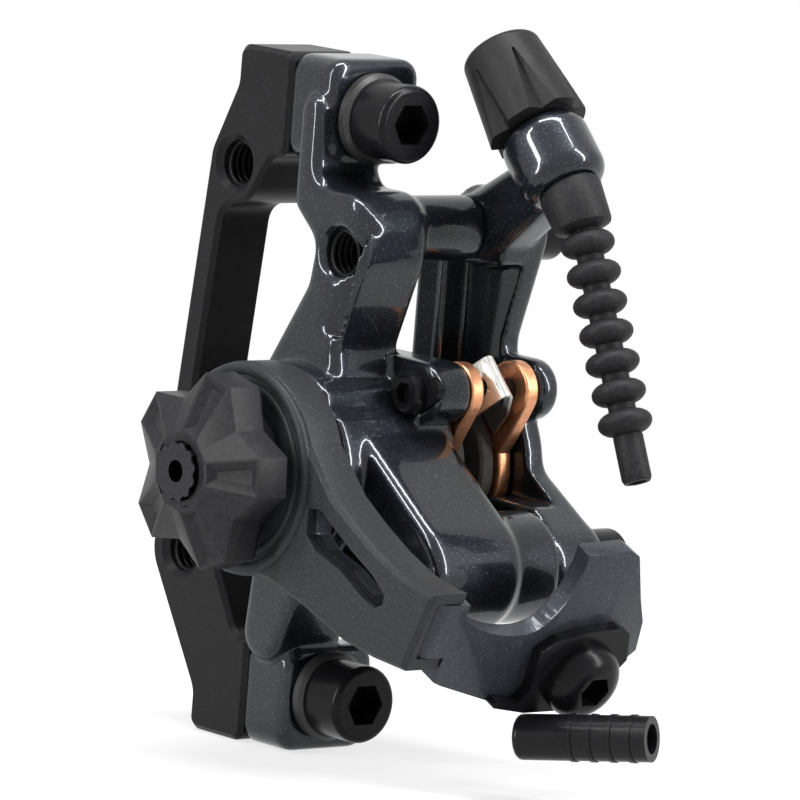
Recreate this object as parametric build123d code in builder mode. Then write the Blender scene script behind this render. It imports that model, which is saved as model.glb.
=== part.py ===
from build123d import *
import math
import os

os.makedirs("parts", exist_ok=True)

# Cable-pulled bicycle disc brake caliper on its frame adaptor, in millimetres.
# X runs along the wheel axle from the pad adjuster towards the rotor and beyond it, Y from the bolt
# heads towards the wheel hub, and Z up. The origin is the middle of the adaptor's upper frame hole.

# Spacings of the two mounting standards, and the places of the rotor and of the lever's pivot
bolt_spacing = 74.0
hole_spacing = 51.0
hole_lean = 5.6
hole_seat_depth = 9.9
hole_above_middle = 29.0
rotor_x = 14.0
rotor_slot = 3.2
pivot_y = -9.2
pivot_z = -7.1
bolt_x = 1.4

# Fits that the pieces share
slip = 0.05
gap = 0.3
overrun = 1.0
soft_edge = 0.4

# Threads by radius: over the thread, and at the root of the tapped hole
m6_r = 3.0
m5_r = 2.5
thread_mouth = 0.8

bolt_z = bolt_spacing / 2
pivot = (pivot_y, pivot_z)


def place(x, y, z):
    """Point given from the bolt line, the ears' seat and mid height, in the part's own frame."""
    return Vector(x, y - hole_seat_depth, z - hole_above_middle)


def side(x, centre=(0, 0)):
    """Plane square to the axle at x that faces the rotor, its own x along Y and its own y along Z."""
    return Plane(origin=place(x, centre[0], centre[1]), x_dir=(0, 1, 0), z_dir=(1, 0, 0))


def outside(x, centre=(0, 0)):
    """The same plane turned to face the pad adjuster, its own x against Y."""
    return Plane(origin=place(x, centre[0], centre[1]), x_dir=(0, -1, 0), z_dir=(-1, 0, 0))


def front(y, centre=(0, 0)):
    """Plane square to Y that faces the bolt heads, its own x along X and its own y along Z."""
    return Plane(origin=place(centre[0], y, centre[1]), x_dir=(1, 0, 0), z_dir=(0, -1, 0))


def strap(start, start_r, end, end_r):
    """Add the straight web that wraps two round bosses to the sketch in hand."""
    with BuildSketch(mode=Mode.PRIVATE) as bosses:
        with Locations(start):
            Circle(start_r)
        with Locations(end):
            Circle(end_r)
    make_hull(bosses.sketch.edges())


def blend_corners(radius):
    """Round every inward corner of the sketch in hand, and leave its outward corners as they are."""
    offset(amount=radius, kind=Kind.INTERSECTION)
    offset(amount=-radius, kind=Kind.ARC)


def drill(mouth, radius, depth, mouth_chamfer=0):
    """Cut a round hole that goes in behind the mouth plane, with a chamfered mouth if one is given."""
    with Locations(mouth):
        Cylinder(radius, depth, align=(Align.CENTER, Align.CENTER, Align.MAX), mode=Mode.SUBTRACT)
        if mouth_chamfer:
            Cone(radius, radius + mouth_chamfer, mouth_chamfer,
                 align=(Align.CENTER, Align.CENTER, Align.MAX), mode=Mode.SUBTRACT)


def post(foot, radius, height):
    """Add a round post that stands on the foot plane."""
    with Locations(foot):
        Cylinder(radius, height, align=(Align.CENTER, Align.CENTER, Align.MIN))


def hex_socket(mouth, across_flats, depth):
    """Cut a hexagon socket that goes in behind the mouth plane."""
    with BuildSketch(mouth) as hexagon:
        RegularPolygon(across_flats / 2, 6, major_radius=False)
    extrude(hexagon.sketch, amount=-depth, mode=Mode.SUBTRACT)


def save(piece, name):
    """Label one finished piece and write it under its own name."""
    piece.part.label = name
    export_step(piece.part, "parts/" + name + ".step")


# Adaptor bracket: forged plate with two seats for the caliper's ears and two tapped frame holes

bracket_thick = 11.0
neck_thick = 8.3
seat_high = 13.5
seat_deep = 10.6
seat_shift = 0.6
hole_boss_r = 5.2
low_hole_boss_r = 5.9
neck_r = 1.9
neck_blend = 3.0
bracket_edge = 0.6
seat_corner = 1.6

low_hole_y = hole_seat_depth + hole_spacing * math.sin(math.radians(hole_lean))
low_hole_z = hole_above_middle - hole_spacing * math.cos(math.radians(hole_lean))
upper_hole = (hole_seat_depth, hole_above_middle)
low_hole = (low_hole_y, low_hole_z)
seat_z = bolt_z + seat_shift
seat_root_r = seat_high / 2 - seat_shift * 2


def bracket_seats():
    """Add the two seats and the bosses of the frame holes to the sketch in hand."""
    with Locations((seat_deep / 2, seat_z), (seat_deep / 2, -seat_z)):
        RectangleRounded(seat_deep, seat_high, seat_corner)
    strap((seat_root_r, bolt_z), seat_root_r, upper_hole, hole_boss_r)
    strap((seat_root_r, -bolt_z), seat_root_r, low_hole, low_hole_boss_r)


with BuildPart() as adaptor_bracket:
    with BuildSketch(side(-bracket_thick / 2)):
        bracket_seats()
        strap((hole_seat_depth + hole_boss_r - neck_r, hole_above_middle), neck_r,
              (low_hole_y + low_hole_boss_r - neck_r, low_hole_z), neck_r)
        blend_corners(neck_blend)
    extrude(amount=neck_thick)
    with BuildSketch(side(neck_thick - bracket_thick / 2)):
        bracket_seats()
        blend_corners(neck_blend)
    extrude(amount=bracket_thick - neck_thick)
    chamfer(adaptor_bracket.faces().filter_by(Axis.X).sort_by(Axis.X)[0].edges(), bracket_edge)
    chamfer(adaptor_bracket.faces().filter_by(Axis.X).group_by(Axis.X)[-1].edges(), bracket_edge)
    for hole in (upper_hole, low_hole):
        drill(outside(-bracket_thick / 2, hole), m6_r, bracket_thick, thread_mouth)
        drill(side(bracket_thick / 2, hole), m6_r, bracket_thick / 2, thread_mouth)
    for z in (bolt_z, -bolt_z):
        drill(front(0, (bolt_x, z)), m6_r + slip, seat_deep * 2)
save(adaptor_bracket, "adaptor_bracket")


# Brake pads: round linings on plated backing plates whose tabs hang on one pin

pad_r = 10.5
lining_r = 9.6
plate_thick = 2.0
lining_thick = 2.3
rotor_gap = 2.6
tab_r = 3.75
pin_y = -20.0
pin_z = 3.7
pin_r = 1.5
pad_slack = 0.2
plate_edge = 0.35

pin = (pin_y, pin_z)
outer_lining_x = rotor_x - rotor_gap / 2 - lining_thick
outer_plate_x = outer_lining_x - plate_thick
inner_lining_x = rotor_x + rotor_gap / 2
inner_plate_x = inner_lining_x + lining_thick
window_out_x = outer_plate_x - pad_slack


def backing_plate(x):
    """Add the backing plate whose outer face lies at x, with its pin tab and rounded edges."""
    with BuildSketch(side(x)) as outline:
        with Locations(pivot):
            Circle(pad_r)
        strap(pivot, tab_r * 2, pin, tab_r)
        with Locations(pin):
            Circle(pin_r + slip, mode=Mode.SUBTRACT)
    plate = extrude(outline.sketch, amount=plate_thick)
    curved = plate.edges().filter_by(GeomType.LINE, reverse=True)
    rims = curved.filter_by(lambda edge: edge.radius > pin_r * 2)
    fillet(rims, plate_edge)


def lining(x):
    """Add the friction disc that starts at x, chamfered at either end."""
    post(side(x, pivot), lining_r, lining_thick)


with BuildPart() as outer_pad_plate:
    backing_plate(outer_plate_x)
save(outer_pad_plate, "outer_pad_plate")

with BuildPart() as inner_pad_plate:
    backing_plate(inner_plate_x)
save(inner_pad_plate, "inner_pad_plate")

with BuildPart() as outer_pad_lining:
    lining(outer_lining_x)
    chamfer(outer_pad_lining.edges().filter_by(GeomType.CIRCLE), plate_edge)
save(outer_pad_lining, "outer_pad_lining")

with BuildPart() as inner_pad_lining:
    lining(inner_lining_x)
    chamfer(inner_pad_lining.edges().filter_by(GeomType.CIRCLE), plate_edge)
save(inner_pad_lining, "inner_pad_lining")


# Pad spring: folded strip of spring steel that holds the two tabs apart round the pin

strip_thick = 0.4
strip_wide = 6.2
strip_back = 0.5
fold_lead = 2.4

tab_reach = math.hypot(pin_y - pivot_y, pin_z - pivot_z)
tab_y = (pin_y - pivot_y) / tab_reach
tab_z = (pin_z - pivot_z) / tab_reach
strip_start = lining_r + strip_back
strip_tip = tab_reach + pin_r + fold_lead
strip_spread = inner_lining_x + lining_thick - rotor_x - strip_thick

with BuildPart() as pad_spring:
    fold_plane = Plane(origin=place(rotor_x, pivot_y, pivot_z), x_dir=(0, tab_y, tab_z),
                       z_dir=(0, tab_z, -tab_y))
    with BuildSketch(fold_plane):
        with BuildLine():
            FilletPolyline((strip_start, strip_spread), (strip_start + tab_r, strip_spread - strip_thick),
                           (strip_tip, 0), (strip_start + tab_r, strip_thick - strip_spread),
                           (strip_start, -strip_spread), radius=strip_thick * 2)
        trace(line_width=strip_thick)
    extrude(amount=strip_wide / 2, both=True)
    with Locations(side(rotor_x, pin)):
        Cylinder(pin_r + gap, strip_spread * 4, mode=Mode.SUBTRACT)
save(pad_spring, "pad_spring")


# Body, outer half: cast column with the mounting ears, the pivot barrel, the pin ear and a finger
# that reaches round the rotor's rim

body_face_x = -7.0
ear_left_x = -5.2
ear_wide = 14.5
ear_deep = 8.0
ear_round = 2.6
web_r = 2.0
web_y = -5.8
web_foot_z = 26.4
low_root_r = 3.7
low_root_y = -4.0
low_root_drop = 1.6
column_y = -13.4
column_top_z = 23.6
column_hole_z = 20.6
column_r = 4.8
waist_y = -10.3
waist_z = 9.0
waist_r = 3.7
flare_top_y = -10.8
flare_top_z = 15.0
flare_top_r = 3.1
flare_foot_y = -4.6
flare_foot_z = 2.4
flare_foot_r = 4.6
trunk_in_x = 4.0
trunk_round = 4.2
barrel_r = 13.2
barrel_front_x = -10.4
pin_ear_r = 4.0
pin_ear_x = 2.4
pin_head_r = 2.7
low_boss_y = -29.8
low_boss_z = -17.2
low_bridge_r = 7.1
bridge_r = 4.2
finger_r = 7.7
finger_x = 8.0
finger_round = 2.4
body_blend = 3.0
cast_round = 1.2
piston_r = 9.0
shaft_r = 6.15
bore_floor_x = -6.4
groove_in_r = 7.0
groove_out_r = 9.7
groove_deep = 3.0
blind_thread_deep = 9.0
joint_bolt_grip = 10.5
window_top_z = 19.3
window_bottom_z = -10.0
window_back_y = -8.0
seal_groove_x = 4.2
seal_wide = 1.6
seal_deep = 1.1

slot_out_x = rotor_x - rotor_slot / 2
slot_in_x = rotor_x + rotor_slot / 2
column = (column_y, column_top_z)
low_boss = (low_boss_y, low_boss_z)
window_reach = finger_r - low_boss_y + overrun
pocket_r = pad_r + gap * 2

with BuildPart() as ears:
    with BuildSketch(front(0, (ear_left_x + ear_wide / 2, 0))):
        with Locations((0, seat_z), (0, -seat_z)):
            RectangleRounded(ear_wide, seat_high, ear_round)
    extrude(amount=ear_deep)
    fillet(ears.faces().filter_by(Axis.Y).group_by(Axis.Y)[0].edges(), cast_round)

with BuildPart() as trunk:
    with BuildSketch(side(body_face_x)):
        strap((web_y, seat_z), web_r, (web_y, web_foot_z), web_r)
        strap((web_y, web_foot_z), web_r, column, column_r)
        strap(column, column_r, (column_y, column_hole_z), column_r)
        strap((column_y, column_hole_z), column_r, (waist_y, waist_z), waist_r)
        strap((waist_y, waist_z), waist_r, pivot, waist_r * 2)
        strap((flare_top_y, flare_top_z), flare_top_r, (flare_foot_y, flare_foot_z), flare_foot_r)
        strap((low_root_y, seat_high / 2 + low_root_drop - seat_z), low_root_r, pivot, barrel_r / 2)
        with Locations(pivot):
            Circle(barrel_r - cast_round / 2)
        blend_corners(body_blend)
    extrude(amount=trunk_in_x - body_face_x)
    fillet(trunk.faces().filter_by(Axis.X).edges(), cast_round)

    # The broad rounding of the column's front corner, parallel to the column's slanting front
    corner = place(body_face_x, column_y - column_r, column_top_z)
    down = (place(body_face_x, waist_y - waist_r, waist_z) - corner).normalized()
    with BuildSketch(Plane(origin=corner - down * column_r * 2, x_dir=(1, 0, 0), z_dir=down)) as rounding:
        Rectangle(trunk_round, trunk_round, align=(Align.MIN, Align.MAX))
        with Locations((trunk_round, -trunk_round)):
            Circle(trunk_round, mode=Mode.SUBTRACT)
    extrude(rounding.sketch, amount=column_top_z - waist_z + column_r * 2, mode=Mode.SUBTRACT)

with BuildPart() as barrel:
    post(side(barrel_front_x, pivot), barrel_r, slot_out_x - barrel_front_x)
    chamfer(barrel.edges().filter_by(GeomType.CIRCLE).sort_by(Axis.X)[0], soft_edge)

with BuildPart() as finger:
    with BuildSketch(side(body_face_x)):
        strap((pivot_y - finger_r / 2, pivot_z), barrel_r - finger_r / 2, low_boss, finger_r)
    extrude(amount=finger_x - body_face_x)
    fillet(finger.faces().filter_by(Axis.X).sort_by(Axis.X)[-1].edges(), finger_round)
    fillet(finger.faces().filter_by(Axis.X).sort_by(Axis.X)[0].edges(), cast_round)

with BuildPart() as outer_pin_ear:
    with BuildSketch(side(pin_ear_x)):
        strap((pivot_y, pin_z), pin_ear_r, pin, pin_ear_r)
    extrude(amount=window_out_x - pin_ear_x)
    fillet(outer_pin_ear.faces().filter_by(Axis.X).edges(), cast_round / 2)

with BuildPart() as body_outer:
    add([ears.part, trunk.part, barrel.part, finger.part, outer_pin_ear.part])

    # The pocket for the pad, open to the front and above, and the rotor's rim beside it
    with BuildSketch(side(window_out_x)):
        with Locations(pivot):
            Circle(pocket_r)
    extrude(amount=slot_out_x - window_out_x, mode=Mode.SUBTRACT)
    with Locations(place(window_out_x, window_back_y, window_bottom_z)):
        Box(slot_in_x - window_out_x, window_reach, window_top_z - window_bottom_z,
            align=(Align.MIN, Align.MAX, Align.MIN), mode=Mode.SUBTRACT)

    # The bosses that meet the other half
    for boss, radius in ((column, bridge_r), (low_boss, low_bridge_r)):
        post(side(0, boss), radius, rotor_x)

    # Bores for the piston and the drive cam, with the spring's groove in front and the seal's inside
    drill(side(slot_out_x, pivot), piston_r + slip, slot_out_x - bore_floor_x)
    drill(side(bore_floor_x, pivot), shaft_r + slip, bore_floor_x - barrel_front_x)
    drill(side(seal_groove_x + seal_wide, pivot), piston_r + seal_deep, seal_wide)
    with BuildSketch(outside(barrel_front_x, pivot)):
        Circle(groove_out_r)
        Circle(groove_in_r, mode=Mode.SUBTRACT)
    extrude(amount=-groove_deep, mode=Mode.SUBTRACT)

    # Holes for the fasteners
    with BuildSketch(front(-ear_deep)):
        with Locations((bolt_x, bolt_z), (bolt_x, -bolt_z)):
            SlotCenterToCenter(m6_r, m6_r * 2 + gap)
    extrude(amount=-ear_deep, mode=Mode.SUBTRACT)
    drill(outside(body_face_x, (column_y, column_hole_z)), m6_r, blind_thread_deep, thread_mouth)
    for boss in (column, low_boss):
        drill(side(rotor_x, boss), m5_r + slip, joint_bolt_grip)
    drill(side(window_out_x, pin), pin_r + slip, window_out_x - pin_ear_x)
    drill(outside(barrel_front_x, pin), pin_head_r + gap, pin_ear_x - barrel_front_x)
save(body_outer, "body_outer")


# Body, inner half: cast plate with the fixed pad's pocket, its pin ear and the arm to the cable stop

inner_face_x = 23.2
inner_column_y = -13.9
inner_column_z = 23.4
inner_column_r = 5.8
inner_waist_y = -12.0
inner_waist_z = 10.0
inner_ear_x = 19.8
inner_flare_y = -6.5
inner_flare_top_z = 19.0
inner_flare_foot_z = 5.0
leg_r = 5.6
stop_x = 15.0
stop_y = -28.0
stop_z = 34.1
stop_tilt = 44.0
stop_r = 5.7
stop_long = 9.4
stop_round = 2.2
arm_r = 3.6
arm_root_r = 4.8
arm_drop = 1.0
arm_in_x = 21.5
barrel_screw_r = 3.0
anvil_r = 7.0

inner_column = (inner_column_y, inner_column_z)
inner_waist = (inner_waist_y, inner_waist_z)
stop_up = Vector(0, math.sin(math.radians(stop_tilt)), math.cos(math.radians(stop_tilt)))


def barrel_plane(height):
    """Plane square to the cable at a height above the middle of the cable stop, facing up along it."""
    return Plane(origin=place(stop_x, stop_y, stop_z) + stop_up * height, x_dir=(1, 0, 0), z_dir=stop_up)


with BuildPart() as cable_stop:
    post(barrel_plane(-stop_long / 2), stop_r, stop_long)
    fillet(cable_stop.edges().filter_by(GeomType.CIRCLE), stop_round)

with BuildPart() as stop_arm:
    with BuildSketch(side(rotor_x)):
        strap(inner_column, arm_root_r, (stop_y, stop_z - arm_drop), arm_r)
    extrude(amount=arm_in_x - rotor_x)
    fillet(stop_arm.faces().filter_by(Axis.X).edges(), finger_round)

with BuildPart() as inner_plate:
    with BuildSketch(side(slot_in_x)):
        strap(inner_column, inner_column_r, inner_waist, waist_r)
        strap(inner_waist, waist_r, pivot, waist_r * 2)
        strap(pivot, barrel_r - leg_r, low_boss, leg_r)
        strap((inner_flare_y, inner_flare_top_z), waist_r, (inner_flare_y, inner_flare_foot_z), waist_r)
        with Locations(pivot):
            Circle(barrel_r)
        blend_corners(body_blend)
    extrude(amount=inner_face_x - slot_in_x)
    fillet(inner_plate.faces().filter_by(Axis.X).sort_by(Axis.X)[-1].edges(), cast_round)

with BuildPart() as inner_pin_ear:
    with BuildSketch(side(inner_ear_x)):
        strap((pivot_y, pin_z), pin_ear_r, pin, pin_ear_r)
    extrude(amount=inner_face_x - inner_ear_x)
    fillet(inner_pin_ear.faces().filter_by(Axis.X).edges(), cast_round)

with BuildPart() as body_inner:
    add([inner_plate.part, inner_pin_ear.part])
    with Locations(place(slot_in_x, window_back_y, window_bottom_z)):
        Box(inner_ear_x - slot_in_x, window_reach, window_top_z - window_bottom_z,
            align=(Align.MIN, Align.MAX, Align.MIN), mode=Mode.SUBTRACT)
    with BuildSketch(side(slot_in_x)):
        with Locations(pivot):
            Circle(pocket_r)
    extrude(amount=inner_ear_x - slot_in_x, mode=Mode.SUBTRACT)
    for boss, radius in ((column, bridge_r), (low_boss, leg_r - gap)):
        post(side(rotor_x, boss), radius, inner_face_x - rotor_x)
    add([stop_arm.part, cable_stop.part])
    for boss in (column, low_boss):
        drill(side(inner_face_x, boss), m5_r + slip, inner_face_x - rotor_x)
    drill(side(inner_face_x, pivot), anvil_r + slip, inner_face_x - inner_ear_x)
    drill(side(inner_face_x, pin), pin_r + slip, inner_face_x - inner_ear_x)
    drill(barrel_plane(stop_long / 2), barrel_screw_r + slip, stop_long)
save(body_inner, "body_inner")


# Fasteners: two post bolts on washers, two screws that join the halves, the pad pin and the anvil

bolt_head_r = 5.0
bolt_head_high = 6.0
bolt_head_round = 0.8
bolt_hex = 5.0
bolt_hex_deep = 3.6
bolt_reach = 9.6
washer_r = 5.75
washer_thick = 2.0
washer_lip = 0.5
screw_head_r = 4.25
screw_head_high = 5.0
screw_hex = 4.0
screw_hex_deep = 2.6
pin_head_high = 1.5
pin_hex = 2.5
pin_hex_deep = 1.1
clip_thick = 0.8
clip_lobe_r = 1.7
clip_lobe_reach = 3.2
anvil_thick = 2.8
anvil_hex = 5.0
anvil_hex_deep = 2.0

with BuildPart() as post_mount_bolts:
    for z in (bolt_z, -bolt_z):
        head_y = -ear_deep - washer_thick
        post(front(head_y, (bolt_x, z)), bolt_head_r, bolt_head_high)
        hex_socket(front(head_y - bolt_head_high, (bolt_x, z)), bolt_hex, bolt_hex_deep)
        post(front(bolt_reach, (bolt_x, z)), m6_r, bolt_reach - head_y)
    rims = post_mount_bolts.edges().filter_by(GeomType.CIRCLE).filter_by(
        lambda edge: edge.radius > bolt_head_r - slip)
    fillet(rims.group_by(Axis.Y)[0], bolt_head_round)
save(post_mount_bolts, "post_mount_bolts")

with BuildPart() as post_mount_washers:
    for z in (bolt_z, -bolt_z):
        post(front(-ear_deep, (bolt_x, z)), washer_r, washer_thick)
        drill(front(-ear_deep - washer_thick, (bolt_x, z)), m6_r + slip, washer_thick)
    chamfer(post_mount_washers.edges().filter_by(GeomType.CIRCLE).filter_by(
        lambda edge: edge.radius > washer_r - slip), washer_lip)
save(post_mount_washers, "post_mount_washers")

with BuildPart() as joining_bolts:
    for boss in (column, low_boss):
        post(side(inner_face_x, boss), screw_head_r, screw_head_high)
        hex_socket(side(inner_face_x + screw_head_high, boss), screw_hex, screw_hex_deep)
        post(side(rotor_x - joint_bolt_grip + gap, boss), m5_r,
             inner_face_x - rotor_x + joint_bolt_grip - gap)
    chamfer(joining_bolts.faces().sort_by(Axis.X)[-1].outer_wire().edges(), soft_edge)
save(joining_bolts, "joining_bolts")

with BuildPart() as pad_pin:
    post(outside(pin_ear_x - clip_thick, pin), pin_head_r, pin_head_high)
    chamfer(pad_pin.faces().sort_by(Axis.X)[0].edges(), soft_edge)
    hex_socket(outside(pin_ear_x - clip_thick - pin_head_high, pin), pin_hex, pin_hex_deep)
    post(side(pin_ear_x - clip_thick, pin), pin_r, inner_face_x - pin_ear_x + clip_thick)
save(pad_pin, "pad_pin")

with BuildPart() as pin_clip:
    with BuildSketch(side(pin_ear_x - clip_thick)):
        strap(pin, pin_head_r, (pin_y - clip_lobe_reach, pin_z + clip_thick), clip_lobe_r)
        with Locations(pin):
            Circle(pin_r + slip, mode=Mode.SUBTRACT)
    extrude(amount=clip_thick)
save(pin_clip, "pin_clip")

with BuildPart() as inner_anvil:
    post(side(inner_plate_x + plate_thick, pivot), anvil_r, anvil_thick)
    hex_socket(side(inner_plate_x + plate_thick + anvil_thick, pivot), anvil_hex, anvil_hex_deep)
    chamfer(inner_anvil.faces().sort_by(Axis.X)[-1].outer_wire().edges(), soft_edge)
save(inner_anvil, "inner_anvil")


# Drive inside the pivot barrel: ramp plate, balls, cam, thrust washer, piston, seals and screw

ramp_thick = 2.4
ramp_inner_slack = 0.1
ball_r = 1.2
ball_ring_r = 7.6
ball_sink = 0.5
ball_arc = 44
seat_arc = 11
ball_count = 3
cam_flange_r = 8.9
cam_flange_back = 0.6
cam_front_x = -15.2
screw_r = 3.0
screw_front_x = -24.8
screw_slot_hex = 2.5
screw_slot_deep = 4.0
thrust_r = 8.5
thrust_thick = 1.0
piston_back_x = 1.9
piston_dish_r = 6.0
piston_dish_deep = 1.5
seal_lip = 0.02
dust_r = 7.4

ball_x = bore_floor_x + ramp_thick - ball_sink + ball_r
flange_x = ball_x + ball_r - ball_sink


def ball_tracks(arc):
    """Cut the three tracks that the balls roll in, each turned through an arc about the pivot."""
    for index in range(ball_count):
        turn = math.radians(360 / ball_count * index)
        spoke = Vector(0, math.cos(turn), math.sin(turn))
        along = spoke.cross(Vector(1, 0, 0))
        start = Plane(origin=place(ball_x, *pivot) + spoke * ball_ring_r, x_dir=spoke, z_dir=along)
        with BuildSketch(start) as track:
            Circle(ball_r + slip)
        revolve(track.sketch, axis=Axis(place(0, *pivot), (1, 0, 0)), revolution_arc=arc, mode=Mode.SUBTRACT)
        with Locations(start):
            Sphere(ball_r + slip, mode=Mode.SUBTRACT)


with BuildPart() as ramp_plate:
    post(side(bore_floor_x, pivot), piston_r, ramp_thick)
    drill(side(bore_floor_x + ramp_thick, pivot), shaft_r + ramp_inner_slack, ramp_thick)
    ball_tracks(seat_arc)
save(ramp_plate, "ramp_plate")

with BuildPart() as ramp_balls:
    with Locations(side(ball_x, pivot)):
        with PolarLocations(ball_ring_r, ball_count):
            Sphere(ball_r)
save(ramp_balls, "ramp_balls")

with BuildPart() as drive_cam:
    post(side(cam_front_x, pivot), shaft_r, cam_flange_back - cam_front_x)
    chamfer(drive_cam.faces().sort_by(Axis.X)[0].edges(), soft_edge)
    post(side(flange_x, pivot), cam_flange_r, cam_flange_back - flange_x)
    drill(side(cam_flange_back, pivot), screw_r + slip, cam_flange_back - cam_front_x)
    ball_tracks(ball_arc)
save(drive_cam, "drive_cam")

with BuildPart() as thrust_washer:
    post(side(piston_back_x - thrust_thick, pivot), thrust_r, thrust_thick)
    drill(side(piston_back_x, pivot), screw_r + gap, thrust_thick)
save(thrust_washer, "thrust_washer")

with BuildPart() as piston:
    post(side(piston_back_x, pivot), piston_r, outer_plate_x - piston_back_x)
    drill(side(outer_plate_x, pivot), piston_dish_r, piston_dish_deep)
    chamfer(piston.faces().filter_by(Axis.X).sort_by(Axis.X)[-1].outer_wire().edges(), soft_edge)
save(piston, "piston")

with BuildPart() as piston_seal:
    post(side(seal_groove_x, pivot), piston_r + seal_deep, seal_wide)
    drill(side(seal_groove_x + seal_wide, pivot), piston_r + seal_lip, seal_wide)
save(piston_seal, "piston_seal")

with BuildPart() as adjusting_screw:
    post(side(screw_front_x, pivot), screw_r, piston_back_x - screw_front_x)
    chamfer(adjusting_screw.edges().filter_by(GeomType.CIRCLE), soft_edge)
    hex_socket(outside(screw_front_x, pivot), screw_slot_hex, screw_slot_deep)
save(adjusting_screw, "adjusting_screw")


# Return spring: wire coil in the groove of the pivot barrel, one leg into the arm

wire_r = 0.45
coil_r = 8.35
coil_pitch = 1.38
coil_turns = 1.5
coil_floor = 0.1

coil_x = barrel_front_x + groove_deep - coil_floor - wire_r
arcs_per_turn = 4
arc_count = int(coil_turns * arcs_per_turn)


def coil_point(step):
    """Point on the spring's centre line a number of quarter turns from its inner end."""
    angle = 2 * math.pi * step / arcs_per_turn
    rise = coil_pitch * step / arcs_per_turn
    return place(coil_x - rise, pivot_y + coil_r * math.cos(angle), pivot_z + coil_r * math.sin(angle))


def coil_direction(step):
    """Direction of the spring's centre line at the same point."""
    angle = 2 * math.pi * step / arcs_per_turn
    slope = coil_pitch / (2 * math.pi * coil_r)
    return Vector(-slope, -math.sin(angle), math.cos(angle)).normalized()


with BuildPart() as return_spring:
    with BuildLine() as coil_line:
        for step in range(arc_count):
            TangentArc(coil_point(step), coil_point(step + 1), tangent=coil_direction(step))
    with BuildSketch(Plane(origin=coil_point(0), z_dir=coil_direction(0))):
        Circle(wire_r)
    sweep(path=coil_line.line)
save(return_spring, "return_spring")
print("return spring turns clear each other by", round(coil_pitch - wire_r * 2, 2), "mm")

# Lever: steel arm folded at its end, under a cast cover, on a plastic bush round the cam shaft

lever_drop = 24.7
arm_thick = 2.6
arm_face_x = -14.9
arm_end_side = 1.8
arm_end_r = 3.9
plate_inset = 2.4
cover_face_x = -16.4
cover_back_x = -10.9
cover_wall = 1.5
cover_ring_r = 13.5
cover_hole_r = 6.6
cover_edge = 0.6
slot_round = 0.3
bush_r = 11.7
bush_face_x = -12.25
bush_back_x = -10.5

arm_back_x = arm_face_x + arm_thick
lever_out = Vector(0, -math.cos(math.radians(lever_drop)), -math.sin(math.radians(lever_drop)))
lever_up = Vector(0, -math.sin(math.radians(lever_drop)), math.cos(math.radians(lever_drop)))
# The cover's outline past its ring, as distances along the lever and across it, in shares of the reach
cover_reach = 38.8
plate_reach = cover_reach - plate_inset
cover_upper_shares = ((0.21, 0.262), (0.31, 0.222), (0.43, 0.176), (0.56, 0.158), (0.7, 0.148), (0.84, 0.152),
                      (0.95, 0.176), (1.0, 0.192))
cover_lower_shares = ((1.0, -0.1), (0.85, -0.152), (0.7, -0.19), (0.47, -0.21), (0.3, -0.235), (0.14, -0.3))
slot_upper_shares = ((0.348, 0.081), (0.4, 0.109), (0.496, 0.096), (0.602, 0.084), (0.721, 0.077),
                     (0.802, 0.056))
slot_lower_shares = ((0.811, 0.024), (0.784, -0.006), (0.707, -0.013), (0.585, -0.001), (0.449, -0.016),
                     (0.385, 0.002))


def lever_plane(x):
    """Plane square to the axle at x that faces outwards, its own x along the lever from the pivot."""
    return Plane(origin=place(x, *pivot), x_dir=lever_out, z_dir=(-1, 0, 0))


def end_plane(reach, x=0, up=0):
    """Plane across the lever's end at a reach from the pivot, its own x along the axle."""
    middle = place(x, *pivot) + lever_out * reach + lever_up * up
    return Plane(origin=middle, x_dir=(1, 0, 0), z_dir=lever_out)


def shares(table, size):
    """Points of a table of shares, at their real size."""
    return [(across * size, up * size) for across, up in table]


def cover_outline():
    """Add the cover's outline to the sketch in hand."""
    points = shares(cover_upper_shares + cover_lower_shares, cover_reach)
    with BuildSketch(mode=Mode.PRIVATE) as outline:
        Circle(cover_ring_r)
        with BuildLine():
            Polyline((0, cover_ring_r - gap), *points, (0, gap - cover_ring_r), close=True)
        make_face()
    add(outline.sketch)


def lever_slot():
    """Add the long pointed slot of the lever to the sketch in hand."""
    with BuildSketch(mode=Mode.PRIVATE) as window:
        with BuildLine():
            Polyline(*shares(slot_upper_shares + slot_lower_shares, cover_reach), close=True)
        make_face()
        fillet(window.vertices(), slot_round)
    add(window.sketch)


with BuildPart() as lever_cover:
    with BuildSketch(lever_plane(cover_back_x)):
        cover_outline()
    extrude(amount=cover_back_x - cover_face_x)
    chamfer(lever_cover.faces().sort_by(Axis.X)[0].edges(), cover_edge)
    with BuildSketch(lever_plane(cover_back_x)):
        cover_outline()
        offset(amount=-cover_wall)
        with Locations((cover_reach, arm_end_side)):
            Rectangle(arm_end_r * 2, arm_end_r * 2 + gap)
    extrude(amount=cover_back_x - arm_face_x, mode=Mode.SUBTRACT)
    with BuildSketch(lever_plane(cover_back_x)):
        lever_slot()
        Circle(cover_hole_r)
    extrude(amount=cover_back_x - cover_face_x, mode=Mode.SUBTRACT)
save(lever_cover, "lever_cover")

with BuildPart() as lever_bush:
    post(outside(bush_back_x, pivot), bush_r, bush_back_x - bush_face_x)
    drill(outside(bush_face_x, pivot), dust_r + slip, bush_back_x - bush_face_x)
    chamfer(lever_bush.edges().filter_by(GeomType.CIRCLE).sort_by(SortBy.RADIUS)[-2:], gap)
save(lever_bush, "lever_bush")

with BuildPart() as dust_seal:
    post(outside(bush_back_x, pivot), dust_r, bush_back_x - bush_face_x)
    drill(outside(bush_face_x, pivot), shaft_r + seal_lip, bush_back_x - bush_face_x)
save(dust_seal, "dust_seal")

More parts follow.
